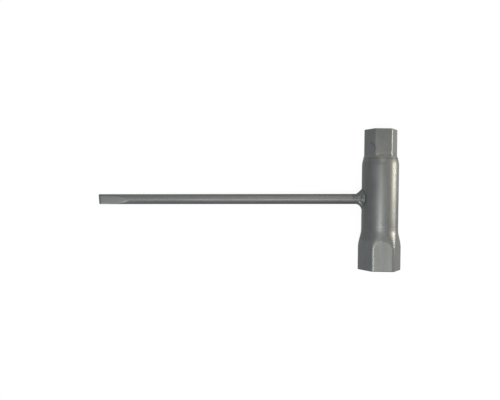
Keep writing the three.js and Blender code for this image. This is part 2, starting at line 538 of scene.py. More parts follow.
def small_rim_highlight(points, tube):
    """Painted highlight on the left half of the arch that ends the right flat of the small hexagon."""
    across = (2 * HALF_SIDE_ANGLE - turn_of(points)) / HALF_SIDE_ANGLE
    foot = tube.length - tube.small_length + 0.6 * MM
    height = np.maximum(foot - points[:, 1], 0) / RIGHT_ARCH
    rim_highlight = hump(np.hypot(across, height), 0.98, 0.16) * fade(height, 0, 0.3) * (across > 0)
    return rim_highlight * (points[:, 1] > tube.length / 2) * skin_side(points, tube.small_flat)


def large_rim_highlight(points, tube):
    """Painted highlight on the left half of the arch that ends each large flat, the upper one most."""
    flat = tube.large_flat + tube.large_wall
    pressed = large_press(tube, points[:, 1])
    turn = turn_of(points)
    to_arch = arch_distance(tube, flat, tube.inner_corner + tube.large_wall, pressed, turn)
    left_half = fade(off_flat(turn), 0, -0.12)
    rim_highlight = hump(to_arch, 0.1 * MM, 0.6 * MM) * left_half * fade(pressed, 1.02, 0.92)
    rim_highlight = rim_highlight * np.where(np.abs(turn) < HALF_SIDE_ANGLE, 1, 0.35)
    return rim_highlight * (points[:, 1] < tube.length / 2) * skin_side(points, tube.large_flat)


def tube_stains_and_shade(points, tube, bar_side):
    """How dark the tube is in its scratch, with painted shade down its left side next to the bar and
    painted shade in the small ring.
    """
    turn = turn_of(points)
    degrees = np.degrees(turn)
    along = points[:, 1] / MM
    scratch = hump(distance_to_line(points, np.array(SCRATCH) * MM), 0, 0.45 * MM)
    # Painted shade down the tube's left side, next to the bar.
    left_side_shade = fade(degrees, -20, -42) * fade(degrees, -160, -120) * bar_side
    left_side_shade = left_side_shade * fade(along, 16.8, 19.8) * fade(along, 68, 64)
    # Painted shade in the line that the die left behind the small hexagon, darker on its right.
    ring = hump(points[:, 1], small_ring(tube), 0.4 * MM) * (0.5 + 0.4 * right_side(turn))
    ring = ring * skin_side(points, tube.diameter / 2 - tube.wall)
    return np.maximum.reduce((0.9 * scratch, 0.33 * left_side_shade, ring))


def tube_highlights(points, tube):
    """How far the tube is painted light: a painted highlight line on the large upper flat, painted light on
    the small right flat, and painted highlights on the arch rims.
    """
    degrees = np.degrees(turn_of(points))
    along = points[:, 1] / MM
    # Painted highlight line on the large upper flat.
    line = hump(points[:, 0], 3.1 * MM, 0.9 * MM) * (points[:, 2] > 0) * fade(along, 19, 16)
    line = line * skin_side(points, tube.large_flat)
    # Painted light on the small hexagon's right flat.
    right_flat_light = fade(np.abs(degrees - 60), 31, 27) * fade(along, 69, 72)
    right_flat_light = right_flat_light * skin_side(points, tube.small_flat)
    rim_highlights = np.maximum(0.7 * large_rim_highlight(points, tube), 0.95 * small_rim_highlight(points, tube))
    return np.maximum.reduce((0.13 * line, 0.44 * right_flat_light, rim_highlights))


def undercut_tube(piece, tube, bar, weld):
    """Sink a narrow groove in the tube round the weld, and keep where the tube is stained, sooty or painted
    with shade and highlights.
    """
    points = points_of(piece)
    to_arm = np.array(arm_place(tube, bar).inverted() @ wrench_place(tube))
    in_arm = points @ to_arm[:3, :3].T + to_arm[:3, 3]
    weld_edge = weld_shape(np.arctan2(in_arm[:, 2], in_arm[:, 0]))[0] * MM
    from_weld = np.hypot(in_arm[:, 0], in_arm[:, 2]) - weld_edge
    radius = np.hypot(points[:, 0], points[:, 2])
    bar_side = (in_arm[:, 1] > 0) & (radius > tube.diameter / 2 - 0.5 * tube.wall)
    groove = hump(from_weld, 0.2 * MM, 0.35 * MM) * bar_side
    shrink = 1 - weld.undercut * groove / radius
    points[:, 0] *= shrink
    points[:, 2] *= shrink
    move_points(piece, points)
    # Painted shade in the groove round the weld, over the tube's other stains and painted shade.
    mark(piece, "stain", np.maximum(0.55 * groove, tube_stains_and_shade(points, tube, bar_side)))
    mark(piece, "heat", 0.6 * hump(from_weld, 0, 3 * MM) * bar_side)
    # On the tube the ground numbers are painted highlights only.
    mark(piece, "ground", tube_highlights(points, tube))


class WRENCH_OT_tube(bpy.types.Operator):
    """Spin the tube's wall and press a hexagon socket into each end"""

    bl_idname = "wrench.tube"
    bl_label = "Socket tube"
    bl_options = {"REGISTER", "UNDO"}

    def execute(self, context):
        tube = context.scene.wrench_tube
        bar = context.scene.wrench_bar
        piece = draw_wall(tube)
        name_piece(piece, "pressed_tube")
        spin_wall(piece, tube)
        press_sockets(piece, tube)
        undercut_tube(piece, tube, bar, context.scene.wrench_weld)
        place = wrench_place(tube)
        finish = context.scene.wrench_finish
        material = steel(
            "Tube steel",
            finish.tube,
            place,
            roughness=finish.roughness,
            lines=1.0,
            clouds=0.12,
            grain_height=0.2,
            scratches=0.5,
        )
        finish_piece(piece, place, "socket_tube", material)
        return {"FINISHED"}


# Screwdriver bar

BLADE_MARGIN = 2 * MM  # length of round bar before the flats that is shaped with the blade

# Rows round the bar by the weld: start and end in millimetres from the tube's axis, and their number.
WELD_ROWS = ((14.5, 17.5, 13), (18.5, 30, 8))
BLADE_ROWS = 64
TIP_ROWS = (0.8, 0.6, 0.42, 0.27, 0.15, 0.06)  # from the tip, as parts of its rounding


def cut_rows(bar):
    """Cut the bar across where it is shaped, stained or painted with light and shade: by the weld and along
    the blade.
    """
    rows = []
    for start, end, number in WELD_ROWS:
        rows += list(np.linspace(start * MM, end * MM, number))
    blade_start = bar.reach - bar.blade_length - BLADE_MARGIN
    rows += list(np.linspace(blade_start, bar.reach - bar.tip_round, BLADE_ROWS))
    rows += [bar.reach - bar.tip_round * part for part in TIP_ROWS]
    for row in rows:
        bpy.ops.mesh.select_all(action="SELECT")
        bpy.ops.mesh.bisect(plane_co=(0, row, 0), plane_no=(0, 1, 0), threshold=SAME_PLACE)


def blade_flats(bar, to_tip):
    """Heights of the blade's upper flat, which has two slopes, and of its lower one."""
    radius = bar.diameter / 2
    half_tip = bar.blade_tip / 2
    steep = (radius - bar.heel_depth - half_tip) / (bar.blade_length - bar.heel)
    shallow = bar.heel_depth / bar.heel
    on_heel = radius - shallow * (bar.blade_length - to_tip)
    upper = soft_min(half_tip + steep * to_tip, on_heel, 0.2 * MM)
    lower = half_tip + (radius - half_tip) / bar.blade_length * to_tip
    return upper, lower


def mark_bar(piece, tube, bar, to_tip, sideways, cut, flat_edge_highlight):
    """Keep where the bar is ground light, worn, or painted with highlights and shade; sideways runs across
    the blade from -1 to 1.
    """
    points = points_of(piece)
    # Ground steel on the flats, with painted light growing towards their lower edge.
    bright = (0.62 - 0.42 * sideways) * fade(sideways, 0.85, 0.6) * fade(to_tip, 0.6 * MM, 1.6 * MM)
    # Painted highlights along the flat's lower edge and on the cut's lower rim.
    low_edge_highlight = flat_edge_highlight * fade(sideways, 0.3, -0.3)
    rim_highlight = cut * fade(sideways, -0.68, -0.83)
    mark(piece, "ground", np.maximum.reduce((cut * bright, low_edge_highlight, rim_highlight)))

    to_tube = np.clip(to_tip / (bar.reach - tube.diameter / 2), 0, 1)
    # Painted shade along the bar's side that faces the large socket, stronger towards the tube.
    under = fade(-points[:, 0] / (bar.diameter / 2), 0.45, 0.65) * (0.1 + 0.6 * to_tube) * (1 - cut)
    # Painted shade on the blade's side that faces the small socket, near the tip.
    upper_side_shade = fade(sideways, 0.6, 0.74) * (0.6 - 0.3 * fade(to_tip, 0, 4 * MM))
    upper_side_shade = upper_side_shade * fade(to_tip, 15 * MM, 9 * MM)
    weld_smudge = hump(points[:, 1], 16.1 * MM, 0.5 * MM) * fade(points[:, 0], -0.6 * MM, 0.4 * MM)
    # Painted shade on the rounded tip.
    tip = fade(to_tip, 1.4 * MM, 0.7 * MM)
    mark(piece, "stain", np.maximum.reduce((under, upper_side_shade, 0.95 * weld_smudge, 0.35 * tip)))
    # The same painted highlights are also laid as bare steel.
    mark(piece, "edge", np.maximum(0.95 * low_edge_highlight, rim_highlight) * fade(to_tip, 0, 2 * MM))


def grind_blade(piece, tube, bar):
    """Grind a flat on both sides of the bar, rolled a little about it, and round the tip."""
    points = points_of(piece)
    radius = bar.diameter / 2
    half_tip = bar.blade_tip / 2
    to_tip = bar.reach - points[:, 1]
    blade = to_tip < bar.blade_length + BLADE_MARGIN
    across = points[:, 0] * math.cos(bar.roll) + points[:, 2] * math.sin(bar.roll)
    height = points[:, 2] * math.cos(bar.roll) - points[:, 0] * math.sin(bar.roll)

    upper, lower = blade_flats(bar, to_tip)
    flat = np.where(height > 0, upper, lower) - bar.crown * (across / radius) ** 2
    flat = flat - bar.tip_drop * np.clip(1 - to_tip / bar.tip_bevel, 0, 1)
    depth = np.abs(height)
    ground = np.where(blade, np.maximum(soft_min(depth, flat, bar.flat_round), 0), depth)
    cut = fade(depth - ground, 0.01 * MM, 0.13 * MM)
    flat_edge_highlight = np.where(blade, hump(depth - flat, 0.06 * MM, 0.24 * MM), 0)

    near = np.clip(1 - to_tip / bar.tip_round, 0, 1)
    shrink = bar.tip_round * (1 - np.sqrt(1 - near**2))
    across = across * (1 - shrink / radius)
    height = np.sign(height) * ground * (1 - np.minimum(shrink / half_tip, 0.75))
    points[:, 0] = across * math.cos(bar.roll) - height * math.sin(bar.roll)
    points[:, 2] = across * math.sin(bar.roll) + height * math.cos(bar.roll)
    slant = math.tan(bar.tip_slant) * (radius - points[:, 0])
    points[:, 1] -= slant * fade(to_tip, 3 * MM, 0)
    move_points(piece, points)
    mark_bar(piece, tube, bar, to_tip, across / radius, cut, flat_edge_highlight)


class WRENCH_OT_bar(bpy.types.Operator):
    """Draw the bar and grind a screwdriver blade on its end"""

    bl_idname = "wrench.bar"
    bl_label = "Screwdriver bar"
    bl_options = {"REGISTER", "UNDO"}

    def execute(self, context):
        tube = context.scene.wrench_tube
        bar = context.scene.wrench_bar
        root = tube.diameter / 2 - 0.4 * tube.wall  # the bar's end is buried in the tube's wall
        deselect()
        bpy.ops.mesh.primitive_cylinder_add(
            vertices=bar.sides,
            radius=bar.diameter / 2,
            depth=bar.reach - root,
            end_fill_type="TRIFAN",
            location=(0, (bar.reach + root) / 2, 0),
            rotation=(math.pi / 2, 0, 0),
        )
        piece = context.object
        name_piece(piece, "blade_bar")
        bpy.ops.object.transform_apply(location=True, rotation=True, scale=True)
        open_mesh()
        cut_rows(bar)
        close_mesh()
        grind_blade(piece, tube, bar)
        points = points_of(piece)
        mark(piece, "heat", 0.5 * hump(points[:, 1], tube.diameter / 2 + 4 * MM, 3 * MM))
        place = arm_place(tube, bar)
        finish = context.scene.wrench_finish
        material = steel(
            "Bar steel",
            finish.bar,
            place,
            roughness=finish.roughness + 0.1,
            lines=0.6,
            clouds=0.1,
            grain_height=0.2,
            scratches=0.3,
        )
        finish_piece(piece, place, "screwdriver_bar", material)
        return {"FINISHED"}


# Weld

# Round the bar, in degrees from the small socket's side over the upper side: the reach of the
# weld on the tube from the bar's axis, its reach along the bar from the tube, in millimetres,
# and how hollow its face is.
WELD_SHAPE = (
    (0, 6.15, 3.4, 0.12),
    (23, 6.0, 3.5, 0.1),
    (41, 5.4, 3.9, 0.08),
    (59, 5.3, 4.3, 0.12),
    (81, 4.75, 4.7, 0.15),
    (100, 4.7, 4.8, 0.15),
    (118, 4.8, 4.7, 0.2),
    (138, 4.85, 4.4, 0.3),
    (156, 5.6, 4.0, 0.5),
    (183, 7.2, 3.5, 0.68),
    (215, 6.0, 4.1, 0.45),
    (250, 5.2, 4.5, 0.3),
    (285, 5.3, 4.5, 0.2),
    (320, 5.9, 4.0, 0.1),
)


def weld_shape(turn):
    """Reach on the tube, reach along the bar and hollow of the weld at angles round the bar."""
    table = np.array(WELD_SHAPE)
    degrees = np.degrees(turn) % 360
    return [np.interp(degrees, table[:, 0], table[:, column], period=360) for column in (1, 2, 3)]


# Lumps on the weld's upper and lower side: place across and along the bar, radius and height, all
# in millimetres from the bar's axis and the tube's.
UPPER_LUMPS = (
    (1.9, 13.7, 0.75, 0.04),
    (1.35, 12.0, 0.6, -0.4),
    (0.3, 14.0, 0.7, 0.06),
    (-0.9, 12.6, 0.5, -0.1),
    (-2.05, 13.4, 0.5, 0.1),
    (-2.6, 12.85, 0.5, 0.2),
    (-3.0, 12.4, 0.5, 0.26),
    (-3.5, 11.9, 0.5, 0.28),
    (-4.0, 11.4, 0.5, 0.22),
    (-1.8, 12.0, 0.45, -0.14),
    (-2.2, 11.4, 0.45, -0.2),
    (-2.6, 10.9, 0.45, -0.2),
    (-0.8, 11.6, 0.7, 0.14),
    (-1.35, 10.9, 0.6, 0.14),
    (2.7, 10.2, 0.5, 0.12),
    (0.6, 10.0, 0.45, 0.12),
    (-0.9, 10.1, 0.4, 0.15),
    (3.3, 11.0, 0.7, 0.14),
)
LOWER_LUMPS = (
    (-1.2, 12.4, 0.7, 0.3),
    (1.8, 13.0, 0.6, 0.3),
    (2.6, 11.4, 0.6, -0.3),
    (0.3, 11.0, 0.6, 0.28),
    (-2.8, 11.6, 0.6, 0.25),
    (-0.4, 14.4, 0.5, -0.2),
)
# A painted highlight is laid along this line on the weld.
RIDGE_HIGHLIGHT = ((-1.45, 13.34), (-3.47, 11.39))  # ends of a bright line on the upper side
RIPPLES = 26  # round the bar
RIPPLE_SLANT = 900  # how far they turn along the bar, in radians to a metre

# Spatter on the tube: angle from the upper flat in degrees, distance from the large mouth and
# radius in millimetres.
SPATTER = (
    (-55.5, 39.6, 0.42),
    (-50.8, 39.0, 0.3),
    (-52.0, 46.9, 0.26),
    (-61.0, 37.3, 0.3),
    (-128.0, 38.0, 0.38),
    (-118.0, 47.5, 0.3),
)

BEAD_SHAPE = (1.2, 1, 0.6, 1)  # of the spatter, flattened on the tube
TOE_SINK = 0.04 * MM  # how far the weld's two edges lie in the bar and in the tube
ROOT_SINK = np.array((0.7, 0.8)) * MM  # how far its root lies in the bar and in the tube
BAR_BULGE = np.array((-0.5, 0)) * MM  # how far its back bulges into the bar
TUBE_BULGE = np.array((0, -0.7)) * MM  # how far its back bulges into the tube
RAGGED_WAVES = ((7, 0.4, 1), (11, 2.1, 0.7), (17, 1.0, 0.5))  # of its edges: number, start and height
RING_RADIUS = 2  # of the torus that the weld is formed from, whose section has a radius of 1


def round_section(section, tube_toe, bar_toe, corner, hollow):
    """Points of the weld's section at an angle: its face between the toes, then back through its root."""
    middle = (bar_toe + tube_toe) / 2
    pull = middle + (corner - middle) * hollow[:, None]
    on_face = np.clip((section + math.pi / 2) / math.pi, 0, 1)[:, None]
    face = (1 - on_face) ** 2 * tube_toe + 2 * on_face * (1 - on_face) * pull + on_face**2 * bar_toe
    root = corner - ROOT_SINK
    towards_bar = section > 0
    back = np.where(towards_bar, math.pi - section, math.pi + section) / (math.pi / 2)
    toe = np.where(towards_bar[:, None], bar_toe, tube_toe)
    bulge = np.where(towards_bar[:, None], BAR_BULGE, TUBE_BULGE)
    buried = root + (toe - root) * back[:, None] + bulge * np.sin(math.pi * back)[:, None]
    return np.where(np.abs(section)[:, None] > math.pi / 2, buried, face)


def form_weld(piece, tube, bar):
    """Draw the ring's section out between the bar and the tube, with its root buried in both."""
    points = points_of(piece)
    turn = np.arctan2(points[:, 1], points[:, 0])
    section = np.arctan2(points[:, 2], np.hypot(points[:, 0], points[:, 1]) - RING_RADIUS)
    on_tube, on_bar, hollow = weld_shape(turn)
    ragged = sum(height * np.sin(number * turn + start) for number, start, height in RAGGED_WAVES)
    on_tube = (on_tube + 0.07 * ragged) * MM
    on_bar = (on_bar + 0.09 * np.roll(ragged, 9)) * MM
    radius = np.full_like(turn, bar.diameter / 2)
    outside = tube.diameter / 2

    def tube_height(reach):
        return np.sqrt(outside**2 - (reach * np.sin(turn)) ** 2)

    bar_toe = np.stack((radius - TOE_SINK, outside + on_bar), axis=1)
    tube_toe = np.stack((on_tube, tube_height(on_tube) - TOE_SINK), axis=1)
    corner = np.stack((radius, tube_height(radius)), axis=1)
    placed = round_section(section, tube_toe, bar_toe, corner, hollow)
    points[:, 0] = placed[:, 0] * np.cos(turn)
    points[:, 2] = placed[:, 0] * np.sin(turn)
    points[:, 1] = placed[:, 1]
    move_points(piece, points)
    face = np.cos(np.clip(section, -math.pi / 2, math.pi / 2)) ** 0.5
    return np.where(np.abs(section) < math.pi / 2, face, 0), turn


def lump_weld(piece, face, turn, weld):
    """Raise lumps and sink pits in the weld's face, along its normals."""
    points = points_of(piece)
    normals = np.empty(len(points) * 3)
    piece.data.vertex_normals.foreach_get("vector", normals)
    normals = normals.reshape(-1, 3)
    height = np.zeros(len(points))
    for lumps, side in ((UPPER_LUMPS, 1), (LOWER_LUMPS, -1)):
        for across, along, radius, rise in lumps:
            away = np.hypot(points[:, 0] - across * MM, points[:, 1] - along * MM)
            height += rise * MM * hump(away, 0, radius * MM) * (points[:, 2] * side > 0)
    beside_bar = np.abs(np.cos(turn)) > 0.3
    height += weld.ripples * np.sin(RIPPLES * turn + RIPPLE_SLANT * points[:, 1]) * beside_bar
    move_points(piece, points + normals * (height * face)[:, None])
    return height * face


def roughen_weld(piece, face, weld):
    """Break the weld's face up with small irregular lumps."""
    group = piece.vertex_groups.new(name="face")
    for index, weight in enumerate(face):
        group.add([index], float(weight), "REPLACE")
    clouds = bpy.data.textures.new("Weld lumps", type="CLOUDS")
    clouds.noise_scale = weld.lump_size
    clouds.noise_depth = 2
    displace = piece.modifiers.new("Lumps", "DISPLACE")
    displace.texture = clouds
    displace.texture_coords = "LOCAL"
    displace.vertex_group = "face"
    displace.strength = weld.lumps
    displace.mid_level = 0.5
    bpy.ops.object.modifier_apply(modifier=displace.name)
    piece.vertex_groups.remove(piece.vertex_groups["face"])


def add_spatter(piece, tube, bar):
    """Drop small beads of weld metal on the tube, and join them to the weld."""
    to_arm = arm_place(tube, bar).inverted() @ wrench_place(tube)
    beads = []
    for degrees, along, radius in SPATTER:
        turn = math.radians(degrees)
        out = Vector((math.sin(turn), 0, math.cos(turn)))
        foot = out * (tube.diameter / 2 - 0.1 * MM) + Vector((0, along * MM, 0))
        deselect()
        bpy.ops.mesh.primitive_ico_sphere_add(subdivisions=3, radius=radius * MM)
        bead = bpy.context.object
        lie = out.to_track_quat("Z", "Y").to_matrix().to_4x4()
        bead.matrix_world = to_arm @ Matrix.Translation(foot) @ lie @ Matrix.Diagonal(BEAD_SHAPE)
        bpy.ops.object.transform_apply(location=True, rotation=True, scale=True)
        for name, value in (("heat", 0.5), ("stain", 0.0), ("edge", 0.4)):
            mark(bead, name, np.full(len(bead.data.vertices), value))
        beads.append(bead)
    deselect()
    for bead in beads:
        bead.select_set(True)
    piece.select_set(True)
    bpy.context.view_layer.objects.active = piece
    bpy.ops.object.join()


class WRENCH_OT_weld(bpy.types.Operator):
    """Lay the weld bead round the foot of the bar, with its spatter"""

    bl_idname = "wrench.weld"
    bl_label = "Weld bead"
    bl_options = {"REGISTER", "UNDO"}

    def execute(self, context):
        tube = context.scene.wrench_tube
        bar = context.scene.wrench_bar
        weld = context.scene.wrench_weld
        deselect()
        bpy.ops.mesh.primitive_torus_add(
            major_segments=weld.sides,
            minor_segments=weld.rows,
            major_radius=RING_RADIUS,
            minor_radius=1,
        )
        piece = context.object
        name_piece(piece, "weld_fillet")
        face, turn = form_weld(piece, tube, bar)
        open_mesh()
        close_mesh()
        height = lump_weld(piece, face, turn, weld)
        roughen_weld(piece, face, weld)
        mark(piece, "heat", np.full(len(height), 0.3))
        # Painted shade in the weld's pits.
        mark(piece, "stain", -height / (0.35 * MM))
        to_ridge = distance_to_line(points_of(piece)[:, :2], np.array(RIDGE_HIGHLIGHT) * MM)
        ridge_highlight = hump(to_ridge, 0, 0.4 * MM) * (face > 0)
        # Lump tops painted lighter and a painted highlight along the ridge, both laid as bare steel.
        mark(piece, "edge", np.maximum(0.05 + height / (1.6 * MM), 0.95 * ridge_highlight))
        add_spatter(piece, tube, bar)
        open_mesh()
        close_mesh()
        place = arm_place(tube, bar)
        finish = context.scene.wrench_finish
        material = steel(
            "Weld metal",
            finish.weld,
            place,
            roughness=finish.roughness + 0.08,
            lines=0.0,
            clouds=0.16,
            grain_height=0.4,
            scratches=0.0,
        )
        finish_piece(piece, place, "weld_bead", material)
        return {"FINISHED"}


# Finishes


def add_node(tree, kind, **settings):
    node = tree.nodes.new(kind)
    for name, value in settings.items():
        setattr(node, name, value)
    return node


def put(tree, value, socket):
    """Link an output to a socket, or write a plain number or colour on it."""
    if isinstance(value, bpy.types.NodeSocket):
        tree.links.new(value, socket)
    else:
        socket.default_value = value


def calculate(tree, operation, first, second=0.0, clamp=False):
    node = add_node(tree, "ShaderNodeMath", operation=operation, use_clamp=clamp)
    put(tree, first, node.inputs[0])
    put(tree, second, node.inputs[1])
    return node.outputs[0]


def spread(tree, value, low, high, to_low=0.0, to_high=1.0):
    """Stretch a part of a value's range over another range, and hold it there."""
    node = add_node(tree, "ShaderNodeMapRange", interpolation_type="SMOOTHSTEP")
    put(tree, value, node.inputs["Value"])
    node.inputs["From Min"].default_value = low
    node.inputs["From Max"].default_value = high
    node.inputs["To Min"].default_value = to_low
    node.inputs["To Max"].default_value = to_high
    return node.outputs["Result"]


def tint(tree, mask, first, second):
    """The first colour where the mask is 0, and the second where it is 1."""
    node = add_node(tree, "ShaderNodeMix", data_type="RGBA")
    put(tree, mask, node.inputs[0])
    put(tree, first, node.inputs[6])
    put(tree, second, node.inputs[7])
    return node.outputs[2]


def noise(tree, vector, size, detail=2.0, rough=0.5):
    """Smooth noise with patches of about a size in metres."""
    node = add_node(tree, "ShaderNodeTexNoise")
    put(tree, vector, node.inputs["Vector"])
    node.inputs["Scale"].default_value = 1 / size
    node.inputs["Detail"].default_value = detail
    node.inputs["Roughness"].default_value = rough
    return node.outputs["Fac"]


def stretch(tree, vector, amounts, turn=(0, 0, 0)):
    """Coordinates scaled and turned, so that a pattern runs along the piece."""
    node = add_node(tree, "ShaderNodeMapping")
    put(tree, vector, node.inputs["Vector"])
    node.inputs["Scale"].default_value = amounts
    node.inputs["Rotation"].default_value = turn
    return node.outputs["Vector"]


def new_group(name, inputs, outputs):
    """A shader node group with named sockets, and its input and output nodes."""
    tree = bpy.data.node_groups.new(name, "ShaderNodeTree")
    for label, kind in inputs:
        tree.interface.new_socket(name=label, in_out="INPUT", socket_type=kind)
    for label in outputs:
        tree.interface.new_socket(name=label, in_out="OUTPUT", socket_type="NodeSocketFloat")
    return tree, add_node(tree, "NodeGroupInput"), add_node(tree, "NodeGroupOutput")


def satin_group(name):
    """Cloudy tone and fine grain of the satin coating."""
    tree, given, result = new_group(name, [("Vector", "NodeSocketVector")], ["Cloud", "Grain", "Height"])
    vector = given.outputs["Vector"]
    cloud = noise(tree, stretch(tree, vector, (1, 0.45, 1)), 7 * MM, 3, 0.55)
    grain = noise(tree, vector, 0.7 * MM, 3, 0.6)
    height = noise(tree, vector, 0.22 * MM, 2, 0.5)
    put(tree, spread(tree, cloud, 0.3, 0.7), result.inputs["Cloud"])
    put(tree, spread(tree, grain, 0.3, 0.7), result.inputs["Grain"])
    put(tree, height, result.inputs["Height"])
    return tree


def drawn_group(name):
    """Fine lines along a drawn tube or bar, whose length is along Y."""
    tree, given, result = new_group(name, [("Vector", "NodeSocketVector")], ["Streak", "Height"])
    vector = given.outputs["Vector"]
    fine = noise(tree, stretch(tree, vector, (1, 0.012, 1)), 0.3 * MM, 2, 0.6)
    broad = noise(tree, stretch(tree, vector, (1, 0.05, 1)), 1.6 * MM, 2, 0.6)
    put(tree, spread(tree, broad, 0.3, 0.7), result.inputs["Streak"])
    put(tree, fine, result.inputs["Height"])
    return tree


def marks_group(name):
    """Thin scratches and small specks from use and handling."""
    tree, given, result = new_group(name, [("Vector", "NodeSocketVector")], ["Scratch", "Speck"])
    vector = given.outputs["Vector"]
    lines = []
    for turn, size in ((0.5, 9 * MM), (-0.9, 13 * MM), (1.3, 11 * MM)):
        cells = add_node(tree, "ShaderNodeTexVoronoi", feature="DISTANCE_TO_EDGE")
        turned = stretch(tree, vector, (1, 0.35, 1), (0.3, turn, 0.8 * turn))
        put(tree, turned, cells.inputs["Vector"])
        cells.inputs["Scale"].default_value = 1 / size
        patch = spread(tree, noise(tree, turned, 0.6 * size, 1), 0.55, 0.68)
        line = spread(tree, cells.outputs["Distance"], 0.0, 0.012, 1.0, 0.0)
        lines.append(calculate(tree, "MULTIPLY", line, patch))
    scratch = calculate(tree, "MAXIMUM", calculate(tree, "MAXIMUM", lines[0], lines[1]), lines[2])
    dots = add_node(tree, "ShaderNodeTexVoronoi", feature="F1")
    put(tree, vector, dots.inputs["Vector"])
    dots.inputs["Scale"].default_value = 1 / (2.6 * MM)
    near = spread(tree, dots.outputs["Distance"], 0.06, 0.16, 1.0, 0.0)
    chosen = add_node(tree, "ShaderNodeSeparateColor")
    put(tree, dots.outputs["Color"], chosen.inputs["Color"])
    kept = spread(tree, chosen.outputs["Red"], 0.7, 0.75)
    put(tree, scratch, result.inputs["Scratch"])
    put(tree, calculate(tree, "MULTIPLY", near, kept), result.inputs["Speck"])
    return tree


def wear_group(name):
    """Ragged worn edge, from the closeness to an edge."""
    inputs = [("Vector", "NodeSocketVector"), ("Edge", "NodeSocketFloat")]
    tree, given, result = new_group(name, inputs, ["Bare"])
    ragged = noise(tree, given.outputs["Vector"], 1.3 * MM, 4, 0.65)
    worn = calculate(tree, "ADD", given.outputs["Edge"], calculate(tree, "MULTIPLY", ragged, 0.9))
    put(tree, spread(tree, worn, 0.95, 1.5), result.inputs["Bare"])
    return tree


GROUPS = {
    "Satin coating": satin_group,
    "Drawn lines": drawn_group,
    "Handling marks": marks_group,
    "Edge wear": wear_group,
}


def use_group(tree, name, **inputs):
    """Place a node group in a material, and build it first where it isn't there yet."""
    group = bpy.data.node_groups.get(name) or GROUPS[name](name)
    node = add_node(tree, "ShaderNodeGroup", node_tree=group)
    for label, value in inputs.items():
        put(tree, value, node.inputs[label])
    return node.outputs


def piece_coordinates(tree, place):
    """Object coordinates, turned so that Y runs along the piece from its own origin."""
    coordinates = add_node(tree, "ShaderNodeTexCoord")
    mapping = add_node(tree, "ShaderNodeMapping", vector_type="TEXTURE")
    put(tree, coordinates.outputs["Object"], mapping.inputs["Vector"])
    mapping.inputs["Location"].default_value = place.to_translation()
    mapping.inputs["Rotation"].default_value = place.to_euler()
    return mapping.outputs["Vector"]


def attribute(tree, name):
    """A number that was kept for each point of the piece."""
    return add_node(tree, "ShaderNodeAttribute", attribute_name=name).outputs["Fac"]


def scaled(tone, factor):
    """A colour made darker or lighter, as a socket takes it."""
    return (*(channel * factor for channel in tone), 1)


def steel(name, base, place, roughness, lines, clouds, grain_height, scratches):
    """Satin coating on steel, worn at its edges and sooty near the weld, with painted highlights and
    painted shade from its kept numbers.

    The last four say how strong its drawn lines, cloudy tone, grain and scratches are.
    """
    finish = bpy.context.scene.wrench_finish
    material = bpy.data.materials.new(name)
    material.use_nodes = True
    tree = material.node_tree
    shader = tree.nodes["Principled BSDF"]
    vector = piece_coordinates(tree, place)
    satin = use_group(tree, "Satin coating", Vector=vector)
    drawn = use_group(tree, "Drawn lines", Vector=vector)
    marks = use_group(tree, "Handling marks", Vector=vector)
    # The edge numbers carry real wear and painted highlights alike.
    worn = use_group(tree, "Edge wear", Vector=vector, Edge=attribute(tree, "edge"))["Bare"]

    # Colour: the coating, then where it is ground or painted light, sooty, stained or painted with shade,
    # scratched, and worn through or painted with highlights.
    shade = calculate(tree, "MULTIPLY", satin["Cloud"], 0.6)
    shade = calculate(tree, "ADD", shade, calculate(tree, "MULTIPLY", satin["Grain"], 0.25))
    shade = calculate(tree, "ADD", shade, calculate(tree, "MULTIPLY", drawn["Streak"], 0.6 * lines))
    tone = tint(tree, shade, scaled(base, 1 - clouds), scaled(base, 1 + clouds))
    # The ground numbers are ground steel on the blade and painted highlights on the tube and blade.
    tone = tint(tree, attribute(tree, "ground"), tone, scaled(finish.ground, 1))
    heat = calculate(tree, "MULTIPLY", attribute(tree, "heat"), satin["Cloud"])
    tone = tint(tree, spread(tree, heat, 0.25, 0.9, 0.0, 0.8), tone, scaled(finish.smut_and_shade, 1))
    dark = calculate(tree, "MULTIPLY", marks["Speck"], 0.35)
    dark = calculate(tree, "MAXIMUM", dark, attribute(tree, "stain"))
    tone = tint(tree, dark, tone, scaled(finish.smut_and_shade, 1))
    scratch = calculate(tree, "MULTIPLY", marks["Scratch"], scratches)
    tone = tint(tree, scratch, tone, scaled(finish.smut_and_shade, 1.2))
    tone = tint(tree, calculate(tree, "MULTIPLY", worn, 0.8), tone, scaled(finish.bare, 1))
    put(tree, tone, shader.inputs["Base Color"])

    # Gloss: cloudy too, and brighter where the steel is bare.
    rough = calculate(tree, "MULTIPLY", satin["Cloud"], 0.08)
    rough = calculate(tree, "ADD", rough, roughness - 0.04)
    rough = calculate(tree, "SUBTRACT", rough, calculate(tree, "MULTIPLY", worn, 0.08))
    put(tree, rough, shader.inputs["Roughness"])
    metal = calculate(tree, "ADD", calculate(tree, "MULTIPLY", worn, 0.6), finish.metal, True)
    put(tree, metal, shader.inputs["Metallic"])
    shader.inputs["Specular Tint"].default_value = (0.55, 0.55, 0.55, 1)

    # Relief: grain and drawn lines, with the scratches cut into them.
    height = calculate(tree, "MULTIPLY", satin["Height"], grain_height)
    height = calculate(tree, "ADD", height, calculate(tree, "MULTIPLY", drawn["Height"], lines))
    height = calculate(tree, "SUBTRACT", height, calculate(tree, "MULTIPLY", scratch, 2.0))
    bump = add_node(tree, "ShaderNodeBump")
    bump.inputs["Distance"].default_value = finish.line_height
    put(tree, height, bump.inputs["Height"])
    put(tree, bump.outputs["Normal"], shader.inputs["Normal"])
    return material


# Stage

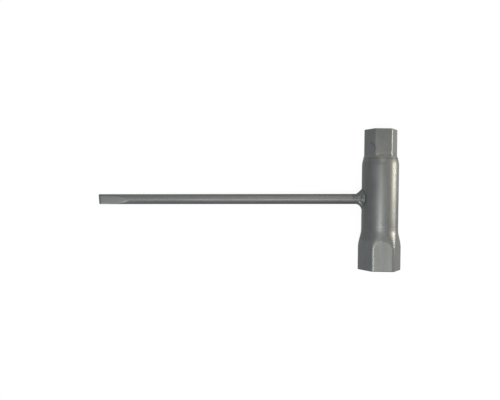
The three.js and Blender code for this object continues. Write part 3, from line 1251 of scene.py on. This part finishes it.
# Bearing in degrees from +X towards +Y, height in degrees, width and depth in metres, and tint.
LAMPS = (
    ("key", 231, 75, 0.04, 0.1, (1.0, 0.996, 0.93)),
    ("rear", 90, 50, 0.4, 0.4, (1.0, 0.905, 0.673)),
    ("left", 205, 55, 0.2, 0.2, (0.784, 0.816, 1.0)),
    ("front", 320, 72, 0.25, 0.25, (1.0, 0.95, 0.855)),
    ("side", 8, 11, 0.13, 0.26, (1.0, 0.842, 0.611)),
    ("low", 8, 3, 0.2, 0.1, (0.882, 0.968, 1.0)),
    ("far", 65, 12, 0.4, 0.22, (1.0, 0.765, 0.49)),
)
LAMP_DISTANCE = 0.65
LAMP_TARGET = Vector((0.06, 0, 0.012))

CAMERA_PLACE = (-3.75 * MM, 6.73 * MM, 345 * MM)
CAMERA_TURN = (("Z", -0.728), ("Y", 0.800), ("X", 1.350))  # from straight down, in degrees

FLOOR_SIZE = 8  # metres
FLOOR_PAINT = (0.8, 0.8, 0.8, 1)  # as it takes and sends on light
FLOOR_WHITE = 1.02  # as it is seen
FLOOR_SHOWN = 0.92  # part of the white in what is seen, where the rest keeps the shadow


def add_lamp(name, bearing, height, width, depth, watts, tone):
    """Add an area lamp that points at the wrench."""
    deselect()
    turn = math.radians(bearing)
    rise = math.radians(height)
    away = Vector((math.cos(rise) * math.cos(turn), math.cos(rise) * math.sin(turn), math.sin(rise)))
    facing = (-away).to_track_quat("-Z", "Y").to_euler()
    bpy.ops.object.light_add(
        type="AREA", location=LAMP_TARGET + away * LAMP_DISTANCE, rotation=facing
    )
    lamp = bpy.context.object
    lamp.name = name + " lamp"
    lamp.data.shape = "RECTANGLE"
    lamp.data.size = width
    lamp.data.size_y = depth
    lamp.data.energy = watts
    lamp.data.color = tone


def add_camera(light):
    """Look down on the wrench as the photograph does."""
    deselect()
    bpy.ops.object.camera_add()
    camera = bpy.context.object
    camera.name = "Camera"
    camera.data.sensor_width = 36
    camera.data.lens = light.lens
    camera.data.clip_start = 0.01
    camera.data.clip_end = 50
    view = Matrix.Identity(3)
    for axis, degrees in CAMERA_TURN:
        view = view @ Matrix.Rotation(math.radians(degrees), 3, axis)
    camera.matrix_world = Matrix.Translation(CAMERA_PLACE) @ view.transposed().to_4x4()
    bpy.context.scene.camera = camera


def shown_directly(tree):
    """1 for rays that show a surface itself, from the camera or a reflection, and 0 for its light."""
    rays = add_node(tree, "ShaderNodeLightPath").outputs
    shown = calculate(tree, "MAXIMUM", rays["Is Camera Ray"], rays["Is Glossy Ray"])
    return calculate(tree, "MAXIMUM", shown, rays["Is Transmission Ray"])


def finish_surface(tree, output, weight, lit, seen):
    """Mix a shader that lights the wrench with one that is seen, by the weight of the second."""
    mix = add_node(tree, "ShaderNodeMixShader")
    put(tree, weight, mix.inputs[0])
    put(tree, lit.outputs[0], mix.inputs[1])
    put(tree, seen.outputs[0], mix.inputs[2])
    put(tree, mix.outputs[0], output.inputs["Surface"])


def add_floor():
    """Lay a pale floor that looks white and takes the wrench's shadow."""
    deselect()
    bpy.ops.mesh.primitive_plane_add(size=FLOOR_SIZE)
    floor = bpy.context.object
    name_piece(floor, "floor")
    material = bpy.data.materials.new("Pale floor")
    material.use_nodes = True
    tree = material.node_tree
    tree.nodes.clear()
    output = add_node(tree, "ShaderNodeOutputMaterial")
    paint = add_node(tree, "ShaderNodeBsdfDiffuse")
    paint.inputs["Color"].default_value = FLOOR_PAINT
    white = add_node(tree, "ShaderNodeEmission")
    white.inputs["Strength"].default_value = FLOOR_WHITE
    weight = calculate(tree, "MULTIPLY", shown_directly(tree), FLOOR_SHOWN)
    finish_surface(tree, output, weight, paint, white)
    floor.data.materials.append(material)


def add_sky(scene, light):
    """Light the wrench evenly from all round, under a sky that looks white."""
    world = bpy.data.worlds.new("Studio")
    scene.world = world
    world.use_nodes = True
    tree = world.node_tree
    tree.nodes.clear()
    output = add_node(tree, "ShaderNodeOutputWorld")
    sky = add_node(tree, "ShaderNodeBackground")
    sky.inputs["Color"].default_value = (*light.sky, 1)
    white = add_node(tree, "ShaderNodeBackground")
    white.inputs["Color"].default_value = (1, 1, 1, 1)
    finish_surface(tree, output, shown_directly(tree), sky, white)


class WRENCH_OT_stage(bpy.types.Operator):
    """Set a pale floor, soft lamps and the camera"""

    bl_idname = "wrench.stage"
    bl_label = "Stage"
    bl_options = {"REGISTER", "UNDO"}

    def execute(self, context):
        scene = context.scene
        light = scene.wrench_light
        scene.view_settings.view_transform = "Standard"
        add_floor()
        add_sky(scene, light)
        for name, bearing, height, width, depth, tone in LAMPS:
            add_lamp(name, bearing, height, width, depth, getattr(light, name), tone)
        add_camera(light)
        return {"FINISHED"}


# Sidebar and run


class WRENCH_PT_pieces(bpy.types.Panel):
    """Pieces of the wrench, with their sizes"""

    bl_idname = "WRENCH_PT_pieces"
    bl_label = "Spark plug wrench"
    bl_space_type = "VIEW_3D"
    bl_region_type = "UI"
    bl_category = "Wrench"

    def draw(self, context):
        layout = self.layout
        for operator, settings in PIECES:
            box = layout.box()
            box.operator(operator)
            group = getattr(context.scene, settings)
            for name in group.__annotations__:
                box.prop(group, name)
        box = layout.box()
        for name in SteelFinish.__annotations__:
            box.prop(context.scene.wrench_finish, name)


PIECES = (
    ("wrench.tube", "wrench_tube"),
    ("wrench.bar", "wrench_bar"),
    ("wrench.weld", "wrench_weld"),
    ("wrench.stage", "wrench_light"),
)

SETTINGS = {
    "wrench_tube": TubeSizes,
    "wrench_bar": BarSizes,
    "wrench_weld": WeldSizes,
    "wrench_finish": SteelFinish,
    "wrench_light": StageLight,
}

CLASSES = (
    *SETTINGS.values(),
    WRENCH_OT_tube,
    WRENCH_OT_bar,
    WRENCH_OT_weld,
    WRENCH_OT_stage,
    WRENCH_PT_pieces,
)


def register():
    for each in CLASSES:
        bpy.utils.register_class(each)
    for name, group in SETTINGS.items():
        setattr(bpy.types.Scene, name, PointerProperty(type=group))


def unregister():
    for name in SETTINGS:
        delattr(bpy.types.Scene, name)
    for each in reversed(CLASSES):
        bpy.utils.unregister_class(each)


def main():
    register()
    bpy.ops.wrench.tube()
    bpy.ops.wrench.bar()
    bpy.ops.wrench.weld()
    bpy.ops.wrench.stage()


if __name__ == "__main__":
    main()
